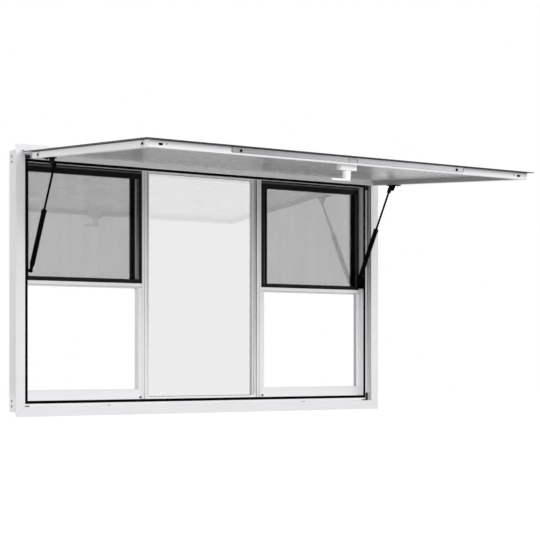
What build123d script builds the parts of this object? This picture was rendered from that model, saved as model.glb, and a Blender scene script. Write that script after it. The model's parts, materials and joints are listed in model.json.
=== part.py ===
from build123d import *
import math
import os

os.makedirs("parts", exist_ok=True)

# Outer frame. The origin is on the back face of the sill flange, X to the right,
# Y into the wall, Z up.
FRAME_W = 1524.0
FRAME_H = 914.4
FRAME_D = 88.0
FLANGE_T = 3.0
FLANGE_W = 33.7
OVERHANG = 14.0
LEDGE_D = 25.5
INNER_INSET = 51.5
WALL = 2.5
GROOVE_T = 1.2
GROOVE_W = 6.0
RECESS_GROOVE_D = 10.0
SOFFIT_GROOVE_D = 37.0
SEAL_W = 9.0
SEAL_LIP = 1.0
SEAL_T = 2.6

# Window inside the frame, depths from the front of the flange.
WINDOW_D = 54.0
BAY_SETBACK = 2.0
REAR_GAP = 4.0
BAR_WALL = 2.0
MULLION_W = 19.0
MULLION_GAP = 468.0
MULLION_LINE_W = 1.8
MULLION_LINE_IN = 8.8
TRACK_W = 14.5
JAMB_TRACK_W = 13.0
BOTTOM_RAIL_H = 36.5
SERVING_H = 358.0
TRANSOM_H = 17.0
TOP_RAIL_H = 9.4
SASH_STILE = 15.0
SASH_JAMB_STILE = 9.0
SASH_BOTTOM = 14.0
SASH_HEAD = 19.0
SASH_T = 14.0
SASH_GLASS_T = 4.0
SCREEN_GAP = 2.0
SCREEN_MULLION_GUIDE = 19.5
SCREEN_JAMB_GUIDE = 7.0
SCREEN_STILE = 19.0
SCREEN_HEAD = 16.0
SCREEN_BOTTOM = 13.0
SCREEN_T = 10.0
MESH_T = 0.8
BEAD_OUT_W = 9.0
BEAD_IN_W = 15.5
BEAD_TOP = 3.0
BEAD_FOOT = 8.0
BEAD_OUT_D = 59.0
BEAD_IN_D = 66.0
CENTRE_GLASS_D = 70.0
CENTRE_GLASS_T = 5.0
GLASS_GRIP = 5.0

# Awning flap, modelled level and then tipped about the hinge line.
HINGE_OUT = 10.0
HINGE_DROP = 26.1
HINGE_FOOT_T = 2.0
HINGE_FOOT_UP = 14.0
HINGE_FOOT_DOWN = 6.5
HINGE_NECK_T = 1.8
HINGE_END_IN = 20.0
BEAD_R = 4.0
BEAD_GAP = 0.7
HOOK_T = 2.0
AWNING_TILT = 4.67
SKIN_LAP = 11.1
SKIN_FOOT_LAP = 6.4
SKIN_DROP = -1.0
SKIN_T = 2.0
LIP_CLEAR = 5.7
LIP_DROP = 25.5
RAIL_W = 21.0
RAIL_WALL = 2.0
REAR_CUT = 16.6
LINER_DROP = 8.6
LINER_T = 1.2

# Gas struts.
STRUT_STAND = 17.5
LOW_D = 33.0
LOW_ABOVE = 31.3
BRACKET_T = 3.0
BRACKET_UP = 21.0
BRACKET_DOWN = 26.0
BRACKET_EDGE = 1.0
BRACKET_R = 5.0
LUG_S = 152.8
LUG_DROP = 16.0
LUG_CLEAR = 0.5
LUG_T = 2.5
LUG_FOOT_T = 3.4
LUG_FOOT_LEN = 64.0
LUG_FOOT_W = 18.0
EAR_TOP = 44.0
EAR_TIP = 18.0
BARREL_R = 8.5
BARREL_WALL = 1.2
BARREL_CAP = 4.0
ROD_R = 3.75
EYE_R = 7.0
EYE_W = 9.0
PIN_R = 3.5
PIN_COLLAR = 1.5
PIN_GAP = 0.4
BARREL_FROM = 25.0
SHANK_R = 4.0
ROD_END_R = 5.5
ROD_END_LEN = 15.0
ROD_END_GAP = 3.0
ROD_FOOT_GAP = 12.0

# Latch.
LATCH_GAP = 1.2
LATCH_W = 64.0
LATCH_DEEP = 25.0
LATCH_LOW = 41.0
LATCH_R = 5.0
LATCH_EDGE = 1.5
SPINDLE_R = 13.0
SPINDLE_LEN = 26.0
LEVER_LEN = 70.0
LEVER_TAIL_R = 13.0
LEVER_TIP_R = 6.0
LEVER_T = 6.0

YF = -FLANGE_T
ZB = -OVERHANG / 2
ZT = ZB + FRAME_H
HALF_W = FRAME_W / 2
IN_X = HALF_W - INNER_INSET
IN_LOW = ZB + INNER_INSET
IN_TOP = ZT - INNER_INSET
MUL_IN = MULLION_GAP / 2
MUL_OUT = MUL_IN + MULLION_W
BAY_Y = YF + WINDOW_D + BAY_SETBACK
SCREEN_Y = BAY_Y + SASH_T + SCREEN_GAP
GUIDE_Y = SCREEN_Y + SCREEN_T + SCREEN_GAP
BACK_Y = YF + FRAME_D - REAR_GAP
SERVING_LOW = IN_LOW + BOTTOM_RAIL_H
SERVING_TOP = SERVING_LOW + SERVING_H
SASH_LOW = SERVING_TOP + TRANSOM_H
SASH_TOP = IN_TOP - TOP_RAIL_H
PIVOT_Y = YF - HINGE_OUT
PIVOT_Z = ZT - HINGE_DROP
HINGE_AXIS = Axis((0, PIVOT_Y, PIVOT_Z), (1, 0, 0))
SKIN_HALF = HALF_W - FLANGE_W + SKIN_LAP
SKIN_REACH = FRAME_H - HINGE_DROP - FLANGE_W + SKIN_FOOT_LAP
SKIN_LOW = -SKIN_DROP - SKIN_T
LIP_INSET = SKIN_LAP + LIP_CLEAR
LIP_X = SKIN_HALF - LIP_INSET
LIP_LOW = -SKIN_DROP - LIP_DROP
LINER_LOW = -SKIN_DROP - LINER_DROP
FRONT_RAIL_S = SKIN_REACH - LIP_INSET
STRUT_X = IN_X - STRUT_STAND
STRUT_LOW = (YF + LOW_D, SASH_LOW + LOW_ABOVE)
LUG_N = LIP_LOW - LUG_DROP
LUG_X = STRUT_X + BARREL_R + LUG_CLEAR
LATCH_S = FRONT_RAIL_S - RAIL_W - LATCH_GAP - LATCH_DEEP / 2


def block(x0, x1, y0, y1, z0, z1):
    size = (abs(x1 - x0), abs(y1 - y0), abs(z1 - z0))
    mid = ((x0 + x1) / 2, (y0 + y1) / 2, (z0 + z1) / 2)
    return Pos(*mid) * Box(*size)


def save(shape, name):
    shape.label = name
    export_step(shape, "parts/" + name + ".step")


def both_sides(shape, name):
    # Shapes are drawn on the right and mirrored to the left.
    save(shape, "right_" + name)
    save(mirror(shape, Plane.YZ), "left_" + name)


def cylinder_x(radius, x0, x1, y, z):
    bar = Cylinder(radius, abs(x1 - x0))
    return Pos((x0 + x1) / 2, y, z) * Rot(0, 90, 0) * bar


def ring(x0, x1, z0, z1, y0, y1, left, right, low, top):
    hole = block(x0 + left, x1 - right, y0 - WALL, y1 + WALL, z0 + low, z1 - top)
    return block(x0, x1, y0, y1, z0, z1) - hole


def frame_profile():
    # Distance in from the frame's edge, depth back from the flange's front.
    outer = [
        (0, 0),
        (FLANGE_W, 0),
        (FLANGE_W, RECESS_GROOVE_D),
        (FLANGE_W - GROOVE_T, RECESS_GROOVE_D),
        (FLANGE_W - GROOVE_T, RECESS_GROOVE_D + GROOVE_W),
        (FLANGE_W, RECESS_GROOVE_D + GROOVE_W),
        (FLANGE_W, LEDGE_D),
        (INNER_INSET, LEDGE_D),
        (INNER_INSET, SOFFIT_GROOVE_D),
        (INNER_INSET - GROOVE_T, SOFFIT_GROOVE_D),
        (INNER_INSET - GROOVE_T, SOFFIT_GROOVE_D + GROOVE_W),
        (INNER_INSET, SOFFIT_GROOVE_D + GROOVE_W),
        (INNER_INSET, FRAME_D),
        (OVERHANG, FRAME_D),
        (OVERHANG, FLANGE_T),
        (0, FLANGE_T),
    ]
    chamber = [
        (OVERHANG + WALL, FLANGE_T),
        (FLANGE_W - WALL, FLANGE_T),
        (FLANGE_W - WALL, LEDGE_D + WALL),
        (INNER_INSET - WALL, LEDGE_D + WALL),
        (INNER_INSET - WALL, FRAME_D - WALL),
        (OVERHANG + WALL, FRAME_D - WALL),
    ]
    solid = make_face(Polyline(*outer, close=True))
    return solid - make_face(Polyline(*chamber, close=True))


def frame_bar(length):
    # A bar lying along X with its outer edge down, mitred at both ends.
    plane = Plane(origin=(-length / 2, 0, 0), x_dir=(0, 0, 1), z_dir=(1, 0, 0))
    profile = frame_profile()
    flipped = mirror(profile, Plane.XZ)
    bar = extrude(plane * flipped, length)
    half = length / 2
    reach = INNER_INSET + WALL
    corners = [(-half, 0), (half, 0), (half - reach, reach), (-half + reach, reach)]
    wedge_plane = Plane(origin=(0, -WALL, 0), x_dir=(1, 0, 0), z_dir=(0, -1, 0))
    wedge = extrude(wedge_plane * make_face(Polyline(*corners, close=True)), -(FRAME_D + 2 * WALL))
    return bar & wedge


def outer_frame():
    sill = Pos(0, YF, ZB) * frame_bar(FRAME_W)
    head = Pos(0, YF, ZT) * Rot(0, 180, 0) * frame_bar(FRAME_W)
    jamb = frame_bar(FRAME_H)
    right = Pos(HALF_W, YF, (ZB + ZT) / 2) * Rot(0, -90, 0) * jamb
    left = Pos(-HALF_W, YF, (ZB + ZT) / 2) * Rot(0, 90, 0) * jamb
    save(sill, "frame_sill")
    save(head, "frame_head")
    save(right, "frame_right_jamb")
    save(left, "frame_left_jamb")


def weather_seal():
    out = INNER_INSET + SEAL_LIP - SEAL_W
    y1 = YF + LEDGE_D
    y0 = y1 - SEAL_T
    seal = ring(-HALF_W + out, HALF_W - out, ZB + out, ZT - out, y0, y1, SEAL_W, SEAL_W, SEAL_W, SEAL_W)
    front = seal.faces().sort_by(Axis.Y)[0]
    seal = fillet(front.edges(), SEAL_T * 0.7)
    save(seal, "weather_seal")


def hinge_rail():
    # A foot strip on the head flange, a neck and a round bead.
    half = SKIN_HALF - HINGE_END_IN
    foot = block(-half, half, YF - HINGE_FOOT_T, YF, PIVOT_Z - HINGE_FOOT_DOWN, PIVOT_Z + HINGE_FOOT_UP)
    t = HINGE_NECK_T / 2
    neck = block(-half, half, PIVOT_Y + BEAD_R * 0.8, YF - HINGE_FOOT_T / 2, PIVOT_Z - t, PIVOT_Z + t)
    bead = cylinder_x(BEAD_R, -half, half, PIVOT_Y, PIVOT_Z)
    save(foot + neck + bead, "hinge_rail")


def mullion():
    y0 = YF + WINDOW_D
    w = BAR_WALL
    outer = block(MUL_IN, MUL_OUT, y0, BACK_Y, IN_LOW, IN_TOP)
    hollow = block(MUL_IN + w, MUL_OUT - w, y0 + 1.5 * w, BACK_Y - w, IN_LOW - w, IN_TOP + w)
    x = MUL_OUT - MULLION_LINE_IN
    half = MULLION_LINE_W / 2
    groove = block(x - half, x + half, y0 - MULLION_LINE_W, y0 + MULLION_LINE_W, IN_LOW - w, IN_TOP + w)
    both_sides(outer - hollow - groove, "mullion")


def centre_light():
    x0 = -MUL_IN
    x1 = MUL_IN
    top = BEAD_TOP
    low = BEAD_FOOT
    w = BEAD_OUT_W
    outer = ring(x0, x1, IN_LOW, IN_TOP, YF + BEAD_OUT_D, BACK_Y, w, w, low, top)
    w = BEAD_IN_W
    inner = ring(x0, x1, IN_LOW, IN_TOP, YF + BEAD_IN_D, BACK_Y, w, w, low, top)
    g = GLASS_GRIP
    y0 = YF + CENTRE_GLASS_D
    y1 = y0 + CENTRE_GLASS_T
    glass = block(x0 + w - g, x1 - w + g, y0, y1, IN_LOW + low - g, IN_TOP - top / 2)
    save(outer + inner - glass, "centre_glazing_frame")
    save(glass, "centre_glass")


def bay_bar(z0, z1):
    w = BAR_WALL
    bar = block(MUL_OUT, IN_X, BAY_Y, BACK_Y, z0, z1)
    return bar - block(MUL_OUT - w, IN_X + w, BAY_Y + w, BACK_Y - w, z0 + w, z1 - w)


def bay_bars():
    w = BAR_WALL
    low = SERVING_LOW
    top = SERVING_TOP
    both_sides(bay_bar(IN_LOW, low), "bottom_rail")
    both_sides(bay_bar(SASH_TOP, IN_TOP), "top_rail")
    # Each track beside the serving opening carries on up behind the sash as the screen's guide.
    x0 = MUL_OUT
    x1 = MUL_OUT + TRACK_W
    track = block(x0, x1, BAY_Y, BACK_Y, low, top)
    track -= block(x0 + w, x1 - w, BAY_Y + w, BACK_Y - w, low - w, top - w)
    guide = block(x0, x0 + SCREEN_MULLION_GUIDE, SCREEN_Y, GUIDE_Y, top - w, SASH_TOP)
    both_sides(track + guide, "mullion_track")
    x2 = IN_X - JAMB_TRACK_W
    track = block(x2, IN_X, BAY_Y, SCREEN_Y, low, top)
    track -= block(x2 + w, IN_X - w, BAY_Y + w, SCREEN_Y + w, low - w, top - w)
    jamb_guide = block(IN_X - SCREEN_JAMB_GUIDE, IN_X, SCREEN_Y - w, GUIDE_Y, top - w, SASH_TOP)
    jamb_guide -= block(x2, IN_X + w, BAY_Y, SCREEN_Y, top, SASH_TOP + w)
    both_sides(track + jamb_guide, "jamb_track")
    both_sides(bay_bar(top, SASH_LOW) - guide - jamb_guide, "transom")


def light(x0, x1, y0, y1, left, right, low, top, pane_t, frame_name, pane_name):
    # A rectangular frame with a pane let into the middle of its thickness.
    frame = ring(x0, x1, SASH_LOW, SASH_TOP, y0, y1, left, right, low, top)
    g = GLASS_GRIP
    mid = (y0 + y1) / 2
    half = pane_t / 2
    gx0 = x0 + left - g
    gx1 = x1 - right + g
    pane = block(gx0, gx1, mid - half, mid + half, SASH_LOW + low - g, SASH_TOP - top + g)
    both_sides(frame - pane, frame_name)
    both_sides(pane, pane_name)


def sash_and_screen():
    y1 = BAY_Y + SASH_T
    left = SASH_STILE
    right = SASH_JAMB_STILE
    low = SASH_BOTTOM
    light(MUL_OUT, IN_X, BAY_Y, y1, left, right, low, SASH_HEAD, SASH_GLASS_T, "sash_frame", "sash_glass")
    x0 = MUL_OUT + SCREEN_MULLION_GUIDE
    x1 = IN_X - SCREEN_JAMB_GUIDE
    y1 = SCREEN_Y + SCREEN_T
    side = SCREEN_STILE
    low = SCREEN_BOTTOM
    light(x0, x1, SCREEN_Y, y1, side, side, low, SCREEN_HEAD, MESH_T, "screen_frame", "screen_mesh")


def tip(shape):
    return shape.rotate(HINGE_AXIS, AWNING_TILT)


def flap(x0, x1, s0, s1, n0, n1):
    # Flap distances: s out from the hinge line, n up from it, flap level.
    return block(x0, x1, PIVOT_Y - s1, PIVOT_Y - s0, PIVOT_Z + n0, PIVOT_Z + n1)


def awning_sheet():
    half = SKIN_HALF
    r0 = BEAD_R + BEAD_GAP
    r1 = r0 + HOOK_T
    sheet = flap(-half, half, r0 + HOOK_T * 0.3, SKIN_REACH, SKIN_LOW, -SKIN_DROP)
    hook = cylinder_x(r1, -half, half, PIVOT_Y, PIVOT_Z)
    bore = cylinder_x(r0, -half - WALL, half + WALL, PIVOT_Y, PIVOT_Z)
    # The mouth of the hook lets the neck pass from open to closed.
    reach = 3 * r1
    points = [(0.0, 0.0)]
    for degree in (16, -15, -50, -85, -114):
        a = math.radians(degree)
        points.append((reach * math.cos(a), reach * math.sin(a)))
    plane = Plane(origin=(-half - WALL, PIVOT_Y, PIVOT_Z), x_dir=(0, 1, 0), z_dir=(1, 0, 0))
    mouth = extrude(plane * make_face(Polyline(*points, close=True)), 2 * (half + WALL))
    hook = hook - mouth
    save(tip(sheet + hook - bore), "awning_skin")


def rail_bar(x0, x1, depth):
    # A hollow rail along X, outer face towards -Y, lower edges rounded.
    w = RAIL_WALL
    bar = block(x0, x1, 0, RAIL_W, -depth, 0)
    lower = bar.edges().filter_by(Axis.X).group_by(Axis.Z)[0]
    bar = fillet(lower, w)
    return bar - block(x0 - w, x1 + w, w, RAIL_W - w, -depth + w, -w)


def mitre(bar, x_end, way, depth):
    # Cuts the end of a rail at 45 degrees; way is +1 for its right end.
    far = RAIL_W + RAIL_WALL
    corners = [(x_end, 0), (x_end + way * far, 0), (x_end + way * far, far), (x_end - way * far, far)]
    wedge = extrude(Plane.XY * make_face(Polyline(*corners, close=True)), depth + RAIL_WALL, both=True)
    return bar - wedge


def awning_rails():
    s0 = LIP_INSET
    s1 = FRONT_RAIL_S
    depth = LIP_DROP - SKIN_T
    top = PIVOT_Z + SKIN_LOW
    front = rail_bar(-LIP_X, LIP_X, depth)
    front = mitre(mitre(front, LIP_X, 1, depth), -LIP_X, -1, depth)
    save(tip(Pos(0, PIVOT_Y - s1, top) * front), "awning_front_rail")
    # The rear rail stops short of the corners and the side rails butt against it.
    end = LIP_X - REAR_CUT
    rear = Pos(0, PIVOT_Y - s0, top) * Rot(0, 0, 180) * rail_bar(-end, end, depth)
    save(tip(rear), "awning_rear_rail")
    long = s1 - s0 - RAIL_W
    side = mitre(rail_bar(0, long, depth), 0, -1, depth)
    right = Pos(LIP_X, PIVOT_Y - s1, top) * Rot(0, 0, 90) * side
    save(tip(right), "awning_right_rail")
    save(tip(mirror(right, Plane.YZ)), "awning_left_rail")
    x = LIP_X - RAIL_W
    liner = flap(-x, x, s0 + RAIL_W, s1 - RAIL_W, LINER_LOW, LINER_LOW + LINER_T)
    save(tip(liner), "awning_liner")


def lug_point(closed):
    # Upper pivot in the Y-Z plane for the open or the closed flap.
    a = math.radians(90 if closed else AWNING_TILT)
    y = PIVOT_Y - LUG_S * math.cos(a) - LUG_N * math.sin(a)
    z = PIVOT_Z - LUG_S * math.sin(a) + LUG_N * math.cos(a)
    return y, z


def strut_length(closed):
    y, z = lug_point(closed)
    return math.hypot(y - STRUT_LOW[0], z - STRUT_LOW[1])


def strut_lug():
    half = LUG_FOOT_LEN / 2
    foot = flap(LUG_X, LUG_X + LUG_FOOT_W, LUG_S - half, LUG_S + half, LIP_LOW - LUG_FOOT_T, LIP_LOW)
    low = LUG_N - LIP_LOW - EYE_R
    corners = [(-EAR_TOP / 2, 0), (EAR_TOP / 2, 0), (EAR_TIP / 2, low), (-EAR_TIP / 2, low)]
    plane = Plane(origin=(LUG_X, PIVOT_Y - LUG_S, PIVOT_Z + LIP_LOW), x_dir=(0, 1, 0), z_dir=(1, 0, 0))
    ear = extrude(plane * make_face(Polyline(*corners, close=True)), LUG_T)
    both_sides(tip(foot + ear), "strut_lug")


def strut_bracket():
    y, z = STRUT_LOW
    x0 = STRUT_X - EYE_W / 2
    x1 = STRUT_X + EYE_W / 2
    face = IN_X - BRACKET_T
    y0 = YF + LEDGE_D + BRACKET_EDGE
    y1 = YF + WINDOW_D - BRACKET_EDGE
    plate = block(face, IN_X, y0, y1, z - BRACKET_DOWN, z + BRACKET_UP)
    plate = fillet(plate.edges().filter_by(Axis.X).sort_by(Axis.Y)[-2:], BRACKET_R)
    c = PIN_COLLAR
    pin = cylinder_x(PIN_R, x0 - c / 2, face, y, z)
    collar = cylinder_x(PIN_R + c, x1 + c / 2, face, y, z)
    both_sides(plate + pin + collar, "strut_bracket")


def strut():
    # Upright first, then leaned about the lower pin.
    y, z = STRUT_LOW
    up = lug_point(False)
    length = strut_length(False)
    lean = math.degrees(math.atan2(y - up[0], up[1] - z))
    axis = Axis((0, y, z), (1, 0, 0))
    x0 = STRUT_X - EYE_W / 2
    x1 = STRUT_X + EYE_W / 2
    barrel_to = strut_length(True) - ROD_END_LEN - ROD_END_GAP
    barrel_len = barrel_to - BARREL_FROM
    middle = z + (BARREL_FROM + barrel_to) / 2
    eye = cylinder_x(EYE_R, x0, x1, y, z)
    shank_len = BARREL_FROM - EYE_R / 2
    shank = Pos(STRUT_X, y, z + (BARREL_FROM + EYE_R / 2) / 2) * Cone(SHANK_R, BARREL_R, shank_len)
    tube = Pos(STRUT_X, y, middle) * Cylinder(BARREL_R, barrel_len)
    bore = Pos(STRUT_X, y, middle) * Cylinder(BARREL_R - BARREL_WALL, barrel_len - 2 * BARREL_CAP)
    mouth = Pos(STRUT_X, y, z + barrel_to) * Cylinder(ROD_R + PIN_GAP, 3 * BARREL_CAP)
    hole = cylinder_x(PIN_R + PIN_GAP, x0 - PIN_GAP, x1 + PIN_GAP, y, z)
    cylinder = eye + shank + tube - bore - mouth - hole
    both_sides(cylinder.rotate(axis, lean), "strut_cylinder")
    top = z + length
    rod_len = strut_length(True) - BARREL_FROM - ROD_FOOT_GAP
    rod = Pos(STRUT_X, y, top - rod_len / 2) * Cylinder(ROD_R, rod_len)
    end = Pos(STRUT_X, y, top - ROD_END_LEN / 2) * Cylinder(ROD_END_R, ROD_END_LEN)
    knob = cylinder_x(EYE_R, x0, x1, y, top)
    stud = cylinder_x(PIN_R, x1 - PIN_GAP, LUG_X - PIN_GAP, y, top)
    both_sides((rod + end + knob + stud).rotate(axis, lean), "strut_rod")


def latch():
    half = LATCH_W / 2
    deep = LATCH_DEEP / 2
    base = flap(-half, half, LATCH_S - deep, LATCH_S + deep, -LATCH_LOW, LINER_LOW)
    base = fillet(base.edges().filter_by(Axis.Z), LATCH_R)
    base = chamfer(base.faces().sort_by(Axis.Z)[0].edges(), LATCH_EDGE)
    save(tip(base), "latch_base")
    y = PIVOT_Y - LATCH_S
    z0 = PIVOT_Z - LATCH_LOW - PIN_GAP
    z1 = z0 - SPINDLE_LEN
    spindle = Pos(0, y, (z0 + z1) / 2) * Cylinder(SPINDLE_R, SPINDLE_LEN)
    # The lever tapers from its round tail under the spindle to a narrow tip.
    far = LEVER_LEN - LEVER_TAIL_R - LEVER_TIP_R
    corners = [(0, LEVER_TAIL_R), (0, -LEVER_TAIL_R), (-far, -LEVER_TIP_R), (-far, LEVER_TIP_R)]
    plan = make_face(Polyline(*corners, close=True)) + Circle(LEVER_TAIL_R) + Pos(-far, 0) * Circle(LEVER_TIP_R)
    lever = Pos(0, y, z1 - LEVER_T) * extrude(plan, LEVER_T)
    save(tip(spindle + lever), "latch_handle")


outer_frame()
weather_seal()
hinge_rail()
mullion()
centre_light()
bay_bars()
sash_and_screen()
awning_sheet()
awning_rails()
strut_lug()
strut_bracket()
strut()
latch()
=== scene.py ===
import json
import math

import bmesh
import bpy
from mathutils import Matrix, Vector


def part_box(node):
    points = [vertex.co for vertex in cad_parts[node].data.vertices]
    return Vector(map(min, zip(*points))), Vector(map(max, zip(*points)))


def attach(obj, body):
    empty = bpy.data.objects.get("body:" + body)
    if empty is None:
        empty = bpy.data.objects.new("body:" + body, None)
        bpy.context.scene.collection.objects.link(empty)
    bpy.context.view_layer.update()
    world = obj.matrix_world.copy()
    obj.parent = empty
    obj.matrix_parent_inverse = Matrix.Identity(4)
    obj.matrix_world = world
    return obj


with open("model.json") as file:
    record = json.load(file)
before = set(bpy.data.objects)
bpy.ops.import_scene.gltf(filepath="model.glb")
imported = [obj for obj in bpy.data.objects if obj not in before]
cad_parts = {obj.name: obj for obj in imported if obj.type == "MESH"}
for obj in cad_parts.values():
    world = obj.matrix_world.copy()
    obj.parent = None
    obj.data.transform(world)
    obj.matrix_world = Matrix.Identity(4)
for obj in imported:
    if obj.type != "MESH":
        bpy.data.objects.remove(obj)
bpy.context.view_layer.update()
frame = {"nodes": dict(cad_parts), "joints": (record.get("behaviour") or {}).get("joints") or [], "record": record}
nodes = frame["nodes"]
joints = {joint["name"]: joint for joint in frame["joints"]}

MM = 0.001
SIDES = (("left", -1), ("right", 1))
ACROSS = Vector((1, 0, 0))
INWARD = Vector((0, 1, 0))
UPWARD = Vector((0, 0, 1))

# The flap's own directions, as it stands open.
HINGE = Vector(joints["awning_hinge"]["pos_m"])
TILT = math.radians(90.0 - joints["awning_hinge"]["range_deg"][1])
FLAP_OUT = Vector((0, -math.cos(TILT), -math.sin(TILT)))
FLAP_UP = Vector((0, -math.sin(TILT), math.cos(TILT)))

# Places read from the frame, in metres.
FRAME_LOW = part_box("frame_left_jamb")[0]
INNER_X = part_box("frame_right_jamb")[0].x
FRAME_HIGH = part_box("frame_right_jamb")[1]
RAIL_LOW, RAIL_HIGH = (corner.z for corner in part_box("left_bottom_rail"))
SEAL_LOW, SEAL_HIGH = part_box("weather_seal")

# The recess that the seal lies in, in millimetres.
SEAL_TO_SIDE = 9.8
SEAL_TO_END = 9.7
RECESS_X = SEAL_HIGH.x / MM + SEAL_TO_SIDE
RECESS_LOW = SEAL_LOW.z / MM - SEAL_TO_END
RECESS_TOP = SEAL_HIGH.z / MM + SEAL_TO_END
LEDGE_Y = SEAL_HIGH.y / MM


def on_flap(x, out, up):
    # A place on the flap, in millimetres from the middle of its hinge.
    return HINGE + Vector((x * MM, 0, 0)) + FLAP_OUT * (out * MM) + FLAP_UP * (up * MM)


def flap_reach(name, direction):
    # The least and most that a node reaches along a direction, in metres from the flap's hinge.
    spans = [direction.dot(point.co - HINGE) for point in nodes[name].data.vertices]
    return min(spans), max(spans)


# Modelling by hand: one piece is selected, then its faces, edges or points are picked by place.


def alone(piece):
    bpy.ops.object.select_all(action="DESELECT")
    piece.select_set(True)
    bpy.context.view_layer.objects.active = piece


def name_piece(name, *materials):
    # The primitive that was just added gets its place applied, its name and its finishes.
    piece = bpy.context.object
    alone(piece)
    bpy.ops.object.transform_apply(location=True, rotation=True, scale=True)
    piece.name = name
    piece.data.name = name
    piece.data.materials.clear()
    for material in materials:
        piece.data.materials.append(material)
    return piece


def start_disc(name, points, radius, deep, lift, *materials):
    bpy.ops.object.select_all(action="DESELECT")
    bpy.ops.mesh.primitive_cylinder_add(
        vertices=points, radius=radius, depth=deep, location=(0, 0, lift)
    )
    return name_piece(name, *materials)


def start_block(name, size, middle, *materials):
    bpy.ops.object.select_all(action="DESELECT")
    bpy.ops.mesh.primitive_cube_add(size=1.0, location=middle, scale=size)
    return name_piece(name, *materials)


def start_sheet(name, wide, high, middle, *materials):
    # An upright rectangle that faces the front.
    bpy.ops.object.select_all(action="DESELECT")
    bpy.ops.mesh.primitive_plane_add(size=1.0, rotation=(math.pi / 2, 0, 0), location=middle)
    bpy.context.object.scale = (wide, high, 1.0)
    return name_piece(name, *materials)


def begin_shaping(piece):
    alone(piece)
    bpy.ops.object.mode_set(mode="EDIT")
    bpy.ops.mesh.select_mode(type="FACE")
    bpy.ops.mesh.select_all(action="DESELECT")


def end_shaping():
    bpy.ops.object.mode_set(mode="OBJECT")


def pick(piece, kind, wanted):
    # Selects the faces, edges or points that are wanted, and nothing else.
    bpy.ops.mesh.select_mode(type=kind)
    mesh = bmesh.from_edit_mesh(piece.data)
    parts = {"FACE": mesh.faces, "EDGE": mesh.edges, "VERT": mesh.verts}[kind]
    for part in parts:
        part.select_set(False)
    for part in parts:
        if wanted(part):
            part.select_set(True)
    bmesh.update_edit_mesh(piece.data)


def faces_up(face):
    return face.normal.z > 0.999


def lies_above(level):
    return lambda edge: all(point.co.z > level for point in edge.verts)


def stands_upright(least):
    return lambda edge: abs(edge.verts[0].co.z - edge.verts[1].co.z) > least


def push(z):
    bpy.ops.mesh.extrude_region_move(TRANSFORM_OT_translate={"value": (0.0, 0.0, z)})


def paint_picked(piece, index):
    piece.active_material_index = index
    bpy.ops.object.material_slot_assign()


def apply_all(piece):
    alone(piece)
    for modifier in list(piece.modifiers):
        bpy.ops.object.modifier_apply(modifier=modifier.name)


def smooth(piece, degrees=35.0):
    alone(piece)
    bpy.ops.object.shade_smooth_by_angle(angle=math.radians(degrees))
    return piece


def facing(spot, out, up):
    # A pattern's local Z goes along out, its local Y along up.
    z = Vector(out).normalized()
    x = Vector(up).cross(z).normalized()
    y = z.cross(x)
    turn = Matrix((x, y, z)).transposed().to_4x4()
    return Matrix.Translation(Vector(spot)) @ turn


def lay_copy(pattern, name, place, body):
    piece = pattern.copy()
    piece.data = pattern.data.copy()
    piece.name = name
    piece.data.name = name
    bpy.context.scene.collection.objects.link(piece)
    piece.data.transform(place)
    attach(piece, body)


# Finishes: the steps that their node trees are made of.


def feed(tree, socket, value):
    if isinstance(value, bpy.types.NodeSocket):
        tree.links.new(value, socket)
    else:
        socket.default_value = value


def math_node(tree, operation, *values):
    node = tree.nodes.new("ShaderNodeMath")
    node.operation = operation
    for socket, value in zip(node.inputs, values):
        feed(tree, socket, value)
    return node.outputs[0]


def both(tree, first, second):
    return math_node(tree, "MULTIPLY", first, second)


def either(tree, first, second):
    return math_node(tree, "MAXIMUM", first, second)


def less(tree, value, limit):
    return math_node(tree, "LESS_THAN", value, limit)


def more(tree, value, limit):
    return math_node(tree, "GREATER_THAN", value, limit)


def distance(tree, value, mark):
    return math_node(tree, "ABSOLUTE", math_node(tree, "SUBTRACT", value, mark))


def ramp_value(tree, value, low, high, to_low=0.0, to_high=1.0):
    node = tree.nodes.new("ShaderNodeMapRange")
    node.inputs["From Min"].default_value = low
    node.inputs["From Max"].default_value = high
    feed(tree, node.inputs["To Min"], to_low)
    feed(tree, node.inputs["To Max"], to_high)
    tree.links.new(value, node.inputs["Value"])
    return node.outputs["Result"]


def mix_colours(tree, factor, first, second):
    node = tree.nodes.new("ShaderNodeMix")
    node.data_type = "RGBA"
    tree.links.new(factor, node.inputs["Factor"])
    sockets = [socket for socket in node.inputs if socket.type == "RGBA"]
    for socket, value in zip(sockets, (first, second)):
        feed(tree, socket, (*value, 1.0) if isinstance(value, tuple) else value)
    return [socket for socket in node.outputs if socket.type == "RGBA"][0]


def noise_value(tree, vector, scale, detail, roughness=0.5):
    node = tree.nodes.new("ShaderNodeTexNoise")
    node.inputs["Roughness"].default_value = roughness
    feed(tree, node.inputs["Detail"], detail)
    feed(tree, node.inputs["Scale"], scale)
    tree.links.new(vector, node.inputs["Vector"])
    return node.outputs["Fac"]


def object_place(tree):
    return tree.nodes.new("ShaderNodeTexCoord").outputs["Object"]


def place_along(tree, axis):
    split = tree.nodes.new("ShaderNodeSeparateXYZ")
    tree.links.new(object_place(tree), split.inputs["Vector"])
    return split.outputs[axis]


def from_middle(tree):
    return math_node(tree, "ABSOLUTE", place_along(tree, "X"))


def measured_along(tree, direction):
    # How far a point lies along a direction, from the flap's hinge.
    node = tree.nodes.new("ShaderNodeVectorMath")
    node.operation = "DOT_PRODUCT"
    tree.links.new(object_place(tree), node.inputs[0])
    node.inputs[1].default_value = direction
    return math_node(tree, "SUBTRACT", node.outputs["Value"], direction.dot(HINGE))


# Effects that several finishes share, each a node group.

SHADE_OVER_SILL = 100.0 * MM
SHADE_UNDER_HEAD = 200.0 * MM


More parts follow.
